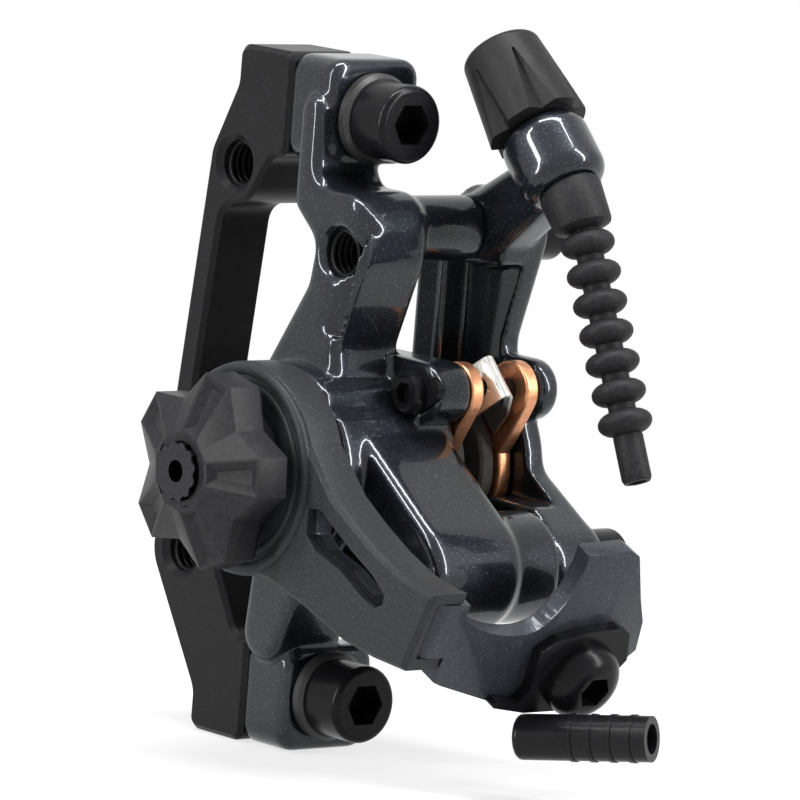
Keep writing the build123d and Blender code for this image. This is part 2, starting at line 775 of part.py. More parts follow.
# The folded end: outline along the axle and across the lever, in shares of the reach
plate_upper_shares = ((-0.169, 0.052), (-0.018, 0.017), (0.091, 0.038), (0.155, 0.127), (0.178, 0.241),
                      (0.173, 0.314), (0.347, 0.325), (0.394, 0.3))
plate_right_shares = ((0.481, 0.129), (0.532, 0.041), (0.555, -0.07), (0.504, -0.126), (0.43, -0.2),
                      (0.26, -0.265))
plate_lower_shares = ((0.058, -0.255), (-0.237, -0.163), (-0.272, -0.148))
plate_round = 0.4
clamp_round = 2.9
clamp_thick = 1.6
clamp_upper_shares = ((0.115, -0.172), (0.094, -0.034), (0.155, 0.016), (0.271, 0.041), (0.396, 0.05),
                      (0.45, 0.027))
clamp_lower_shares = ((0.487, -0.077), (0.43, -0.17), (0.36, -0.24), (0.26, -0.262), (0.13, -0.262),
                      (-0.026, -0.232), (-0.006, -0.21), (0.09, -0.222))
clamp_bolt_shares = (0.30769, -0.13333)
clamp_head_r = 5.15
clamp_head_high = 3.4
clamp_hex = 4.0
clamp_hex_deep = 2.2
clamp_tail = 1.8
sleeve_shares = (0.13333, -0.34359)
sleeve_lift = 0.6
sleeve_r = 2.9
sleeve_bore_r = 1.9
sleeve_long = 17.7
sleeve_wall = 2.4
sleeve_ring = 0.15
sleeve_ring_pitch = 2.6
sleeve_rings = 4
sleeve_ring_wide = 0.6
sleeve_turn = 0.466
sleeve_front = 0.878
sleeve_rise = 0.122

front_reach = plate_reach + arm_thick
clamp_reach = front_reach + clamp_thick
clamp_bolt_x = clamp_bolt_shares[0] * front_reach
clamp_bolt_side = clamp_bolt_shares[1] * front_reach
sleeve_x = sleeve_shares[0] * front_reach
sleeve_side = sleeve_shares[1] * front_reach
sleeve_reach = clamp_reach + sleeve_lift
fold_r = 2.2

with BuildPart() as lever_arm:
    with BuildSketch(lever_plane(arm_back_x)):
        cover_outline()
        offset(amount=-cover_wall - gap)
        with Locations((cover_reach - arm_end_r + gap, arm_end_side)):
            Rectangle(front_reach - cover_reach + arm_end_r - gap, arm_end_r * 2,
                      align=(Align.MIN, Align.CENTER))
        Circle(shaft_r + slip, mode=Mode.SUBTRACT)
    extrude(amount=arm_thick)
    with BuildSketch(lever_plane(arm_back_x)):
        lever_slot()
    extrude(amount=arm_thick, mode=Mode.SUBTRACT)
    with BuildSketch(end_plane(plate_reach)):
        with BuildLine():
            upper = shares(plate_upper_shares, front_reach)
            lower = shares(plate_right_shares + plate_lower_shares, front_reach)
            tip = (arm_back_x, arm_end_side + arm_end_r - gap)
            Spline(tip, *upper[:6])
            Polyline(*upper[5:], *lower, (lower[-1][0], arm_end_side - arm_end_r),
                     (arm_back_x, arm_end_side - arm_end_r), tip)
        make_face()
        with Locations((arm_face_x, arm_end_side)):
            Rectangle(arm_thick * 2, arm_end_r * 2, align=(Align.MIN, Align.CENTER))
    extrude(amount=arm_thick)
    fold = lever_arm.edges().filter_by(GeomType.LINE).filter_by(
        lambda edge: abs(edge.center().X - arm_face_x) < slip).sort_by_distance(
        place(arm_face_x, *pivot) + lever_out * front_reach)[0]
    fillet(fold, fold_r)
    drill(end_plane(front_reach, clamp_bolt_x, clamp_bolt_side), m6_r + slip, arm_thick)
save(lever_arm, "lever_arm")

with BuildPart() as clamp_plate:
    with BuildSketch(end_plane(front_reach)):
        with BuildLine():
            Polyline(*shares(clamp_upper_shares + clamp_lower_shares, front_reach), close=True)
        make_face()
        with Locations((clamp_bolt_x, clamp_bolt_side)):
            Circle(m6_r + slip, mode=Mode.SUBTRACT)
    extrude(amount=clamp_thick)
    corners = clamp_plate.edges().filter_by(lambda edge: abs(edge.tangent_at(0).dot(lever_out)) > 1 - slip)
    fillet(corners, plate_round)
save(clamp_plate, "clamp_plate")

with BuildPart() as clamp_bolt:
    post(end_plane(clamp_reach, clamp_bolt_x, clamp_bolt_side), clamp_head_r, clamp_head_high)
    fillet(clamp_bolt.edges().filter_by(GeomType.CIRCLE).sort_by(
        lambda edge: edge.center().dot(lever_out))[-1], clamp_round)
    clamp_face = end_plane(clamp_reach + clamp_head_high, clamp_bolt_x, clamp_bolt_side)
    hex_socket(clamp_face, clamp_hex, clamp_hex_deep)
    post(end_plane(plate_reach - clamp_tail, clamp_bolt_x, clamp_bolt_side), m6_r,
         clamp_reach - plate_reach + clamp_tail)
save(clamp_bolt, "clamp_bolt")

sleeve_way = Vector(sleeve_turn, -sleeve_front, sleeve_rise).normalized()
sleeve_foot = end_plane(sleeve_reach, sleeve_x, sleeve_side).origin


def sleeve_plane(along):
    """Plane square to the cable sleeve at a distance along it, facing its open end."""
    return Plane(origin=sleeve_foot + sleeve_way * along, x_dir=(0, 0, 1), z_dir=sleeve_way)


with BuildPart() as cable_end_sleeve:
    post(sleeve_plane(0), sleeve_r, sleeve_long)
    for ring in range(sleeve_rings):
        post(sleeve_plane(sleeve_long - sleeve_ring_pitch * (ring + 1)), sleeve_r + sleeve_ring,
             sleeve_ring_wide)
    fillet(cable_end_sleeve.faces().filter_by(GeomType.PLANE).sort_by(
        lambda face: face.center().dot(sleeve_way))[0].edges(), soft_edge * 2)
    drill(sleeve_plane(sleeve_long), sleeve_bore_r, sleeve_long - sleeve_wall)
save(cable_end_sleeve, "cable_end_sleeve")


# Pad adjuster: five-lobed knob on the screw, with a toothed steel cap in its face

knob_lobes = 5
knob_first_lobe = 14.0
knob_tip_r = 12.2
knob_tip_half = 2.3
knob_valley_r = 9.2
knob_front_x = -26.2
knob_rim_x = -23.7
knob_rim_back_x = -18.5
knob_back_x = -16.8
knob_back_r = 8.4
knob_dish_r = 7.0
knob_dish_deep = 0.9
cap_tooth_r = 3.75
cap_teeth = 12
cap_front_x = -26.9
cap_back_x = -25.0
cap_hole_r = 1.4
cap_notch_r = 0.7
cap_rim = 0.9

knob_crown_r = cap_tooth_r + cap_rim


def knob_star(tip_r, tip_half, valley_r):
    """Add the five-lobed star of the knob to the sketch in hand, with flat tips and straight sides."""
    corners = []
    for lobe in range(knob_lobes):
        turn = math.radians(knob_first_lobe + 360 / knob_lobes * lobe)
        valley = turn + math.pi / knob_lobes
        for out, across in ((tip_r, -tip_half), (tip_r, tip_half)):
            corners.append((math.sin(turn) * out + math.cos(turn) * across,
                            math.cos(turn) * out - math.sin(turn) * across))
        corners.append((math.sin(valley) * valley_r, math.cos(valley) * valley_r))
    with BuildSketch(mode=Mode.PRIVATE) as star:
        with BuildLine():
            Polyline(*corners, close=True)
        make_face()
    add(star.sketch)


with BuildPart() as adjuster_knob:
    with BuildSketch(outside(knob_rim_back_x, pivot)):
        knob_star(knob_tip_r, knob_tip_half, knob_valley_r)
    extrude(amount=knob_rim_back_x - knob_rim_x)
    chamfer(adjuster_knob.faces().sort_by(Axis.X)[-1].edges(), cover_edge)

    # The faceted front: every corner of the star runs up to a smaller star round the cap
    with BuildSketch(outside(knob_rim_x, pivot)) as star_rim:
        knob_star(knob_tip_r, knob_tip_half, knob_valley_r)
    with BuildSketch(outside(knob_front_x, pivot)) as star_face:
        knob_star(knob_crown_r, cap_rim, knob_crown_r)
    loft([star_rim.sketch, star_face.sketch], ruled=True)

    # A shallow dish in the face of every lobe
    for lobe in range(knob_lobes):
        turn = math.radians(knob_first_lobe + 360 / knob_lobes * lobe)
        spoke = Vector(0, -math.sin(turn), math.cos(turn))
        middle = place((knob_rim_x + knob_front_x) / 2, *pivot) + spoke * (knob_tip_r + knob_crown_r) / 2
        rise = knob_rim_x - knob_front_x
        fall = knob_tip_r - knob_crown_r
        outward = (Vector(-fall, 0, 0) + spoke * rise).normalized()
        with Locations(Plane(origin=middle + outward * (knob_dish_r - knob_dish_deep), z_dir=outward)):
            Sphere(knob_dish_r, mode=Mode.SUBTRACT)
    with Locations(outside(knob_back_x, pivot)):
        Cylinder(knob_back_r, knob_back_x - knob_rim_back_x, align=(Align.CENTER, Align.CENTER, Align.MIN))
    drill(outside(knob_front_x, pivot), screw_r + slip, knob_back_x - knob_front_x)
    drill(outside(knob_front_x, pivot), cap_tooth_r + slip, cap_back_x - knob_front_x)
save(adjuster_knob, "adjuster_knob")

with BuildPart() as adjuster_cap:
    post(outside(cap_back_x, pivot), cap_tooth_r, cap_back_x - cap_front_x)
    with Locations(outside(cap_front_x, pivot)):
        with PolarLocations(cap_tooth_r + cap_notch_r / 2, cap_teeth):
            Cylinder(cap_notch_r, cap_back_x - cap_front_x + overrun,
                     align=(Align.CENTER, Align.CENTER, Align.MAX), mode=Mode.SUBTRACT)
    drill(outside(cap_front_x, pivot), cap_hole_r, cap_back_x - cap_front_x)
save(adjuster_cap, "adjuster_cap")


# Cable barrel: threaded tube in the cable stop, a detent ring, and the fluted knob moulded on the tube

barrel_bottom = -4.5
barrel_top = 13.0
barrel_bore_r = 1.2
ring_thick = 1.0
ring_slack = 0.2
ring_r = 5.0
barrel_skirt = 4.95
barrel_knob_top = 17.2
barrel_knob_r = 6.5
barrel_knob_top_r = 5.1
barrel_knob_round = 1.0
flute_count = 6
flute_deep = 1.5
flute_half = 2.5
flute_top = 14.2
housing_r = 2.6

with BuildPart() as adjuster_barrel:
    post(barrel_plane(barrel_bottom), barrel_screw_r, barrel_top - barrel_bottom)
    drill(barrel_plane(barrel_top), barrel_bore_r, barrel_top - barrel_bottom)
    chamfer(adjuster_barrel.edges().filter_by(GeomType.CIRCLE).sort_by(
        lambda edge: edge.radius)[-2:], soft_edge)
save(adjuster_barrel, "adjuster_barrel")

with BuildPart() as barrel_ring:
    post(barrel_plane(stop_long / 2 + ring_slack), ring_r, ring_thick)
    drill(barrel_plane(stop_long / 2 + ring_slack + ring_thick), barrel_screw_r + slip, ring_thick)
save(barrel_ring, "barrel_ring")

with BuildPart() as barrel_knob:
    with Locations(barrel_plane(barrel_skirt)):
        Cone(barrel_knob_r, barrel_knob_top_r, barrel_knob_top - barrel_skirt,
             align=(Align.CENTER, Align.CENTER, Align.MIN))
    fillet(barrel_knob.edges().filter_by(GeomType.CIRCLE).sort_by(
        lambda edge: edge.center().dot(stop_up))[-1], barrel_knob_round)
    for flute in range(flute_count):
        turn = 2 * math.pi * flute / flute_count
        spoke = Vector(math.cos(turn), 0, 0) + stop_up.cross(Vector(1, 0, 0)) * math.sin(turn)
        skirt = Plane(origin=barrel_plane(barrel_skirt).origin, x_dir=spoke, z_dir=stop_up)
        with BuildSketch(skirt) as flute_foot:
            with BuildLine():
                Polyline((barrel_knob_r - flute_deep, 0), (barrel_knob_r + gap, flute_half),
                         (barrel_knob_r + gap, -flute_half), close=True)
            make_face()
        brim = Plane(origin=barrel_plane(flute_top).origin, x_dir=spoke, z_dir=stop_up)
        with BuildSketch(brim) as flute_tip:
            with BuildLine():
                Polyline((barrel_knob_top_r, 0), (barrel_knob_top_r + gap * 2, gap),
                         (barrel_knob_top_r + gap * 2, -gap), close=True)
            make_face()
        loft([flute_foot.sketch, flute_tip.sketch], ruled=True, mode=Mode.SUBTRACT)
    drill(barrel_plane(barrel_knob_top), housing_r, barrel_knob_top - barrel_skirt)
    drill(barrel_plane(barrel_top), barrel_screw_r, barrel_top - barrel_skirt)
    drill(barrel_plane(stop_long / 2 + ring_slack + ring_thick + ring_slack), ring_r + slip,
          ring_thick + ring_slack * 2)
save(barrel_knob, "barrel_knob")


# Cable boot: ribbed rubber bellows, hollow for the cable, that hangs from the stop and bends outwards

boot_start = -4.75
boot_long = 38.4
boot_lean_tail = 24.5
boot_bend_long = 7.5
boot_collar_r = 4.1
boot_collar_foot_r = 3.75
boot_collar_long = 5.4
boot_rib_r = 3.4
boot_neck_r = 1.65
boot_ribs = 7
boot_pitch = 3.85
boot_first_rib = 7.6
boot_tail_r = 1.9
boot_bore_r = 1.2
rib_half_shares = (0.33, 0.09)
boot_steps = 12

boot_turn = math.radians(stop_tilt - boot_lean_tail)
boot_bend_r = boot_bend_long / boot_turn
boot_top = barrel_plane(boot_start).origin


def boot_plane(along):
    """Plane square to the boot at a distance down its bent centre line, facing down it."""
    bent = min(along, boot_bend_long)
    straight = along - bent
    lean = math.radians(stop_tilt) - bent / boot_bend_r
    lean_top = math.radians(stop_tilt)
    shift_y = boot_bend_r * (math.cos(lean) - math.cos(lean_top)) + straight * math.sin(lean)
    shift_z = boot_bend_r * (math.sin(lean_top) - math.sin(lean)) + straight * math.cos(lean)
    return Plane(origin=boot_top + Vector(0, -shift_y, -shift_z), x_dir=(1, 0, 0),
                 z_dir=(0, -math.sin(lean), -math.cos(lean)))


boot_circles = [(0, boot_collar_r - gap), (gap, boot_collar_r), (boot_collar_long - gap, boot_collar_foot_r),
                (boot_collar_long, boot_collar_foot_r - gap), (boot_collar_long + gap, boot_neck_r)]
for rib in range(boot_ribs):
    middle = boot_first_rib + boot_pitch * rib
    wide = rib_half_shares[0] * boot_pitch
    narrow = rib_half_shares[1] * boot_pitch
    boot_circles += [(middle - wide, boot_neck_r), (middle - narrow, boot_rib_r),
                     (middle + narrow, boot_rib_r), (middle + wide, boot_neck_r)]
boot_circles += [(boot_circles[-1][0] + gap, boot_tail_r), (boot_long, boot_tail_r)]

with BuildPart() as cable_boot:
    for along, radius in boot_circles:
        with BuildSketch(boot_plane(along)):
            Circle(radius)
    loft(ruled=True)
    for step in range(boot_steps + 1):
        with BuildSketch(boot_plane(boot_long * step / boot_steps)):
            Circle(boot_bore_r)
    loft(ruled=True, mode=Mode.SUBTRACT)
save(cable_boot, "cable_boot")
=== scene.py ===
import math

import bmesh
import bpy
from mathutils import Matrix, Vector


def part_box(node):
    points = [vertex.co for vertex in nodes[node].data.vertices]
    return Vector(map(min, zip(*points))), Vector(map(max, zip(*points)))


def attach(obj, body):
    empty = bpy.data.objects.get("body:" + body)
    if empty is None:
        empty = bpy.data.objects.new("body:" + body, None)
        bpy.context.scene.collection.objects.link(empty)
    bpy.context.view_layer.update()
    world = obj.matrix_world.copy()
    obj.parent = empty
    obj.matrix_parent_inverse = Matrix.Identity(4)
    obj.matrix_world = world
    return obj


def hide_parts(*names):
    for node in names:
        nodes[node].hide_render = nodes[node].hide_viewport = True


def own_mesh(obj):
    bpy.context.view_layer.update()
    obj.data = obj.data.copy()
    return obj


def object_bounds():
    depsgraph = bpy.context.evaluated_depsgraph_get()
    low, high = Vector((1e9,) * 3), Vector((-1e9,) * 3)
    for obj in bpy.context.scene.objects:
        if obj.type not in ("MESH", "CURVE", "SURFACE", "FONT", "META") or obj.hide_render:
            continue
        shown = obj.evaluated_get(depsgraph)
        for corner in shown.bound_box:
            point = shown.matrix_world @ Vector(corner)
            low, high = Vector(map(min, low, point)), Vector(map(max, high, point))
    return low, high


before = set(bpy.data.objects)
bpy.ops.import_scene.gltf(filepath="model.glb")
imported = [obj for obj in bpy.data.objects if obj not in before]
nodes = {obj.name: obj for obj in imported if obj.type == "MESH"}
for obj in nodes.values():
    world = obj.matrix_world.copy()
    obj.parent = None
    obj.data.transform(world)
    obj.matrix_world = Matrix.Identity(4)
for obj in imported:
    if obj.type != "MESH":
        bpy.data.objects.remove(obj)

cad_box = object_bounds()
mm = 0.001

# Adaptor bracket: forged plate between the frame's tabs and the caliper, with two holes tapped M6.
# It is coated satin black with a fine grain, down into the ridges of its threads.

grain_detail = 3.0
grain_height = 0.06 * mm
cloud_scale = 90.0
flake_scale = 2600.0
flake_edge, flake_core = 0.2, 0.1


def grain_group():
    """Fine paint grain on Object coordinates: a speckle, a slow cloud, a mask of flake spots that carry
    painted glints, and a bump.
    """
    group = bpy.data.node_groups.new("paint_grain_and_glints", "ShaderNodeTree")
    for label, default in (("Scale", 900.0), ("Depth", 0.1), ("Glint_flakes", 0.0)):
        socket = group.interface.new_socket(label, in_out="INPUT", socket_type="NodeSocketFloat")
        socket.default_value = default
    for label in ("Speckle", "Cloud", "Flake_glint"):
        group.interface.new_socket(label, in_out="OUTPUT", socket_type="NodeSocketFloat")
    group.interface.new_socket("Normal", in_out="OUTPUT", socket_type="NodeSocketVector")
    add, link = group.nodes.new, group.links.new
    entry, leave = add("NodeGroupInput"), add("NodeGroupOutput")
    where = add("ShaderNodeTexCoord")
    fine, cloud = add("ShaderNodeTexNoise"), add("ShaderNodeTexNoise")
    fine.inputs["Detail"].default_value = grain_detail
    cloud.inputs["Scale"].default_value = cloud_scale
    cells = add("ShaderNodeTexVoronoi")
    cells.inputs["Scale"].default_value = flake_scale
    spot = add("ShaderNodeMapRange")
    spot.inputs["From Min"].default_value = flake_edge
    spot.inputs["From Max"].default_value = flake_core
    bump = add("ShaderNodeBump")
    bump.inputs["Distance"].default_value = grain_height
    share = add("ShaderNodeMath")
    share.operation = "MULTIPLY"
    for pattern in (fine, cloud, cells):
        link(where.outputs["Object"], pattern.inputs["Vector"])
    link(entry.outputs["Scale"], fine.inputs["Scale"])
    link(entry.outputs["Depth"], bump.inputs["Strength"])
    link(cells.outputs["Distance"], spot.inputs["Value"])
    link(spot.outputs["Result"], share.inputs[0])
    link(entry.outputs["Glint_flakes"], share.inputs[1])
    link(fine.outputs["Fac"], bump.inputs["Height"])
    link(fine.outputs["Fac"], leave.inputs["Speckle"])
    link(cloud.outputs["Fac"], leave.inputs["Cloud"])
    link(share.outputs["Value"], leave.inputs["Flake_glint"])
    link(bump.outputs["Normal"], leave.inputs["Normal"])
    return group


paint_grain_and_glints = grain_group()
# Near-white colour mixed in at the flake spots: painted glints, a sparkle painted into the colour.
flake_glint_white = (0.5, 0.55, 0.62, 1)
coat_rough = 0.05


def coated(name, dark, light, rough, metallic=0.0, scale=900.0, depth=0.1, coat=0.0, gloss=0.5, glint_flakes=0.0):
    """Coated or moulded finish whose colour and gloss vary between two values with the grain, with painted
    near-white glints at its flake spots.
    """
    finish = bpy.data.materials.new(name)
    finish.use_nodes = True
    add, link = finish.node_tree.nodes.new, finish.node_tree.links.new
    shader = finish.node_tree.nodes["Principled BSDF"]
    grain = add("ShaderNodeGroup")
    grain.node_tree = paint_grain_and_glints
    grain.inputs["Scale"].default_value = scale
    grain.inputs["Depth"].default_value = depth
    grain.inputs["Glint_flakes"].default_value = glint_flakes
    tint = add("ShaderNodeMix")
    tint.data_type = "RGBA"
    tint.inputs["A"].default_value = (*dark, 1)
    tint.inputs["B"].default_value = (*light, 1)
    # Painted glints: near-white colour mixed into the base colour at the flake spots.
    glint = add("ShaderNodeMix")
    glint.data_type = "RGBA"
    glint.inputs["B"].default_value = flake_glint_white
    shine = add("ShaderNodeMapRange")
    shine.inputs["To Min"].default_value = rough[0]
    shine.inputs["To Max"].default_value = rough[1]
    link(grain.outputs["Speckle"], tint.inputs["Factor"])
    link(grain.outputs["Flake_glint"], glint.inputs["Factor"])
    link(tint.outputs["Result"], glint.inputs["A"])
    link(glint.outputs["Result"], shader.inputs["Base Color"])
    link(grain.outputs["Cloud"], shine.inputs["Value"])
    link(shine.outputs["Result"], shader.inputs["Roughness"])
    link(grain.outputs["Normal"], shader.inputs["Normal"])
    shader.inputs["Metallic"].default_value = metallic
    shader.inputs["Coat Weight"].default_value = coat
    shader.inputs["Coat Roughness"].default_value = coat_rough
    shader.inputs["Specular IOR Level"].default_value = gloss
    return finish


def dress(finish, *names):
    """Give CAD nodes a finish in every material slot."""
    for name in names:
        slots = nodes[name].material_slots
        if not slots:
            nodes[name].data.materials.append(finish)
        for slot in slots:
            slot.material = finish


# Its few flake spots are painted glints: near-white dots in the colour.
bracket_black = coated("bracket_black", dark=(0.004, 0.004, 0.0045), light=(0.01, 0.01, 0.011),
                       rough=(0.3, 0.42), scale=1400, depth=0.15, gloss=0.12, glint_flakes=0.03)
dress(bracket_black, "adaptor_bracket")


def trace_points(points):
    """Chain of edges through points in the XZ plane, extruded one by one from a merged plane."""
    bpy.ops.object.select_all(action="DESELECT")
    bpy.ops.mesh.primitive_plane_add(size=mm)
    piece = bpy.context.object
    bpy.ops.object.mode_set(mode="EDIT")
    bpy.ops.mesh.select_mode(type="VERT")
    bpy.ops.mesh.merge(type="CENTER")
    spots = [Vector((across, 0, along)) for across, along in points]
    bpy.ops.transform.translate(value=spots[0])
    for start, end in zip(spots, spots[1:]):
        bpy.ops.mesh.extrude_vertices_move(TRANSFORM_OT_translate={"value": end - start})
    bpy.ops.mesh.select_all(action="SELECT")
    return piece


def settle(piece, name, origin, way, across):
    """Turn a piece's own Z to a direction and its X to another, set it at its place and apply that."""
    z = way.normalized()
    x = (across - z * across.dot(z)).normalized()
    y = z.cross(x)
    turn = Matrix(((x.x, y.x, z.x), (x.y, y.y, z.y), (x.z, y.z, z.z))).to_4x4()
    piece.name = name
    piece.data.name = name
    piece.matrix_world = Matrix.Translation(origin) @ turn
    bpy.ops.object.transform_apply(location=True, rotation=True, scale=True)


axle = Vector((1, 0, 0))
outward = Vector((-1, 0, 0))
upward = Vector((0, 0, 1))
thread_pitch = 1.0 * mm
thread_crest = 2.5 * mm
thread_root = 3.03 * mm
thread_flank = 0.46 * mm
thread_steps = 40
thread_inset = 1.1 * mm
ridge_sides = 3
weld = 0.002 * mm


def cut_thread(name, mouth, way, turns):
    """Helical ridge of an M6 thread, from near the mouth of a hole in along it, in the coat's black."""
    ridge = trace_points(((thread_root, -thread_flank), (thread_crest, 0), (thread_root, thread_flank)))
    bpy.ops.mesh.edge_face_add()
    bpy.ops.mesh.delete(type="ONLY_FACE")
    bpy.ops.object.mode_set(mode="OBJECT")
    wind = ridge.modifiers.new("wind", "SCREW")
    wind.axis = "Z"
    wind.screw_offset = thread_pitch
    wind.iterations = turns
    wind.steps = thread_steps
    wind.render_steps = thread_steps
    bpy.ops.object.modifier_apply(modifier=wind.name)
    bpy.ops.object.mode_set(mode="EDIT")
    bpy.ops.mesh.select_all(action="SELECT")
    bpy.ops.mesh.remove_doubles(threshold=weld)
    bpy.ops.mesh.fill_holes(sides=ridge_sides)
    bpy.ops.mesh.normals_make_consistent(inside=False)
    bpy.ops.object.mode_set(mode="OBJECT")
    settle(ridge, name, mouth + way * thread_inset, way, upward)
    ridge.data.materials.append(bracket_black)
    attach(ridge, "body")


frame_hole_spacing = 51 * mm
frame_hole_lean = math.radians(5.6)
bracket_turns = 9
bracket_low, bracket_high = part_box("adaptor_bracket")
upper_hole = Vector()
lower_hole = Vector((0, math.sin(frame_hole_lean), -math.cos(frame_hole_lean))) * frame_hole_spacing
for name, hole in (("upper_hole_thread", upper_hole), ("lower_hole_thread", lower_hole)):
    cut_thread(name, hole + axle * bracket_low[0], axle, bracket_turns)

# Body halves: die-cast aluminium under a dark blue-grey metallic paint and a clear coat. The corners
# are melted together as they come from the mould, so that they carry long white reflections. The hole
# in the outer half is tapped M6.

# The metallic paint's flake spots are real metal flecks whose sparkle is painted in: near-white dots in the
# colour, painted glints.
cast_paint = coated("cast_paint", dark=(0.004, 0.005, 0.007), light=(0.017, 0.021, 0.027),
                    rough=(0.26, 0.36), metallic=0.6, scale=5000, depth=0.03, coat=0.6, gloss=0.12,
                    glint_flakes=0.2)
cad_weld = 0.001 * mm


def merged_copy(node, name):
    """Copy of a CAD piece with its loose triangles joined, selected and ready for its finish."""
    bpy.ops.object.select_all(action="DESELECT")
    copy = bpy.data.objects.new(name, nodes[node].data.copy())
    bpy.context.collection.objects.link(copy)
    bpy.context.view_layer.objects.active = copy
    copy.select_set(True)
    bpy.ops.object.mode_set(mode="EDIT")
    bpy.ops.mesh.select_all(action="SELECT")
    bpy.ops.mesh.remove_doubles(threshold=cad_weld)
    bpy.ops.object.mode_set(mode="OBJECT")
    copy.data.materials.clear()
    return copy


cast_cell = 0.36 * mm
cast_passes = 10
cast_ease = 0.5
for node in ("body_outer", "body_inner"):
    casting = merged_copy(node, node + "_casting")
    melt = casting.modifiers.new("melt", "REMESH")
    melt.mode = "VOXEL"
    melt.voxel_size = cast_cell
    bpy.ops.object.modifier_apply(modifier=melt.name)
    ease = casting.modifiers.new("ease", "SMOOTH")
    ease.factor = cast_ease
    ease.iterations = cast_passes
    bpy.ops.object.modifier_apply(modifier=ease.name)
    bpy.ops.object.shade_smooth()
    casting.data.materials.append(cast_paint)
    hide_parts(node)
    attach(casting, "body")

seat_y = bracket_low[1]
middle_z = (bracket_low[2] + bracket_high[2]) / 2


def place(x, y, z):
    """Point given from the bolt line, the ears' seat and mid height, in the part's own frame."""
    return Vector((x, y + seat_y, z + middle_z))


body_hole = place(-7.0 * mm, -13.4 * mm, 20.6 * mm)
body_turns = 7
cut_thread("body_hole_thread", body_hole, axle, body_turns)

# Lever: pressed steel arm under a cast cover, in a satin dark grey powder coat with a fine sparkle painted in
# as near-white glints.
# Its edges are rounded by the tumbling and the coat, and the cover's hub carries two cast rings.

# Both coats' flake spots are painted glints: near-white dots in the colour.
lever_coat = coated("lever_coat", dark=(0.007, 0.0075, 0.0085), light=(0.03, 0.032, 0.036),
                    rough=(0.4, 0.52), metallic=0.2, scale=3800, depth=0.4, gloss=0.14, glint_flakes=0.1)
arm_coat = coated("arm_coat", dark=(0.009, 0.011, 0.014), light=(0.034, 0.04, 0.048), rough=(0.34, 0.46),
                  metallic=0.5, scale=4200, depth=0.25, coat=0.2, gloss=0.2, glint_flakes=0.18)
cover_round = 0.45 * mm
arm_round = 0.3 * mm
flat_angle = math.radians(1)
edge_angle = math.radians(28)
smooth_angle = math.radians(40)
for node, finish, round_off in (("lever_cover", lever_coat, cover_round), ("lever_arm", arm_coat, arm_round)):
    pressed = merged_copy(node, node + "_rounded")
    bpy.ops.object.mode_set(mode="EDIT")
    bpy.ops.mesh.select_all(action="SELECT")
    bpy.ops.mesh.dissolve_limited(angle_limit=flat_angle)
    bpy.ops.object.mode_set(mode="OBJECT")
    edge = pressed.modifiers.new("edge", "BEVEL")
    edge.width = round_off
    edge.segments = 3
    edge.limit_method = "ANGLE"
    edge.angle_limit = edge_angle
    edge.use_clamp_overlap = True
    bpy.ops.object.modifier_apply(modifier=edge.name)
    bpy.ops.object.shade_smooth_by_angle(angle=smooth_angle)
    pressed.data.materials.append(finish)
    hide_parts(node)
    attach(pressed, "lever")


def turned(profile, steps):
    """Profile of radius and height points spun round Z into a closed piece."""
    piece = trace_points(profile)
    bpy.ops.mesh.spin(steps=steps, angle=2 * math.pi, center=(0, 0, 0), axis=(0, 0, 1))
    bpy.ops.mesh.select_all(action="SELECT")
    bpy.ops.mesh.remove_doubles(threshold=weld)
    bpy.ops.mesh.normals_make_consistent(inside=False)
    bpy.ops.object.mode_set(mode="OBJECT")
    bpy.ops.object.shade_smooth_by_angle(angle=math.radians(50))
    return piece


bush_low, bush_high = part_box("lever_bush")
pivot = Vector((0, (bush_low[1] + bush_high[1]) / 2, (bush_low[2] + bush_high[2]) / 2))
cover_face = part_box("lever_cover")[0][0]
ring_sunk = 0.3 * mm
ring_arc_steps = 8
ring_steps = 96
# Radius of the crest, half the width and the height of each ring
hub_rings = ((12.6 * mm, 0.75 * mm, 0.55 * mm), (10.7 * mm, 0.5 * mm, 0.35 * mm))
for count, (radius, half, high) in enumerate(hub_rings, 1):
    foot = (radius + half, -ring_sunk)
    arc = [math.pi * step / ring_arc_steps for step in range(ring_arc_steps + 1)]
    crest = [(radius + half * math.cos(angle), high * math.sin(angle)) for angle in arc]
    ring = turned([foot, *crest, (radius - half, -ring_sunk), foot], ring_steps)
    settle(ring, "hub_ring_" + str(count), pivot + axle * cover_face, outward, upward)
    ring.data.materials.append(lever_coat)
    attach(ring, "lever")

# Fasteners: cap screws, pad pin and clip, anvil plug, clamp plate and adjusting screw are steel with a
# black oxide, semi-gloss from its oil. The washers are duller, and the adjusting screw's toothed cap
# is brighter steel.

black_oxide = coated("black_oxide", dark=(0.003, 0.003, 0.0035), light=(0.009, 0.009, 0.01),
                     rough=(0.2, 0.3), metallic=0.3, scale=2000, depth=0.06, gloss=0.14)
dress(black_oxide, "post_mount_bolts", "joining_bolts", "pad_pin", "pin_clip", "inner_anvil", "clamp_plate",
      "clamp_bolt", "adjusting_screw")
washer_black = coated("washer_black", dark=(0.008, 0.008, 0.008), light=(0.03, 0.029, 0.028),
                      rough=(0.36, 0.5), metallic=0.3, scale=1200, depth=0.2)
dress(washer_black, "post_mount_washers")
cap_steel = coated("cap_steel", dark=(0.02, 0.02, 0.022), light=(0.07, 0.07, 0.075), rough=(0.16, 0.3),
                   metallic=1.0, scale=2600, depth=0.15)
dress(cap_steel, "adjuster_cap")

# Pads: copper-plated steel backing plates with a dark sintered lining, on the pin, and a bright strip
# of spring steel folded between their tabs. The lever's return spring is wire of the same steel.

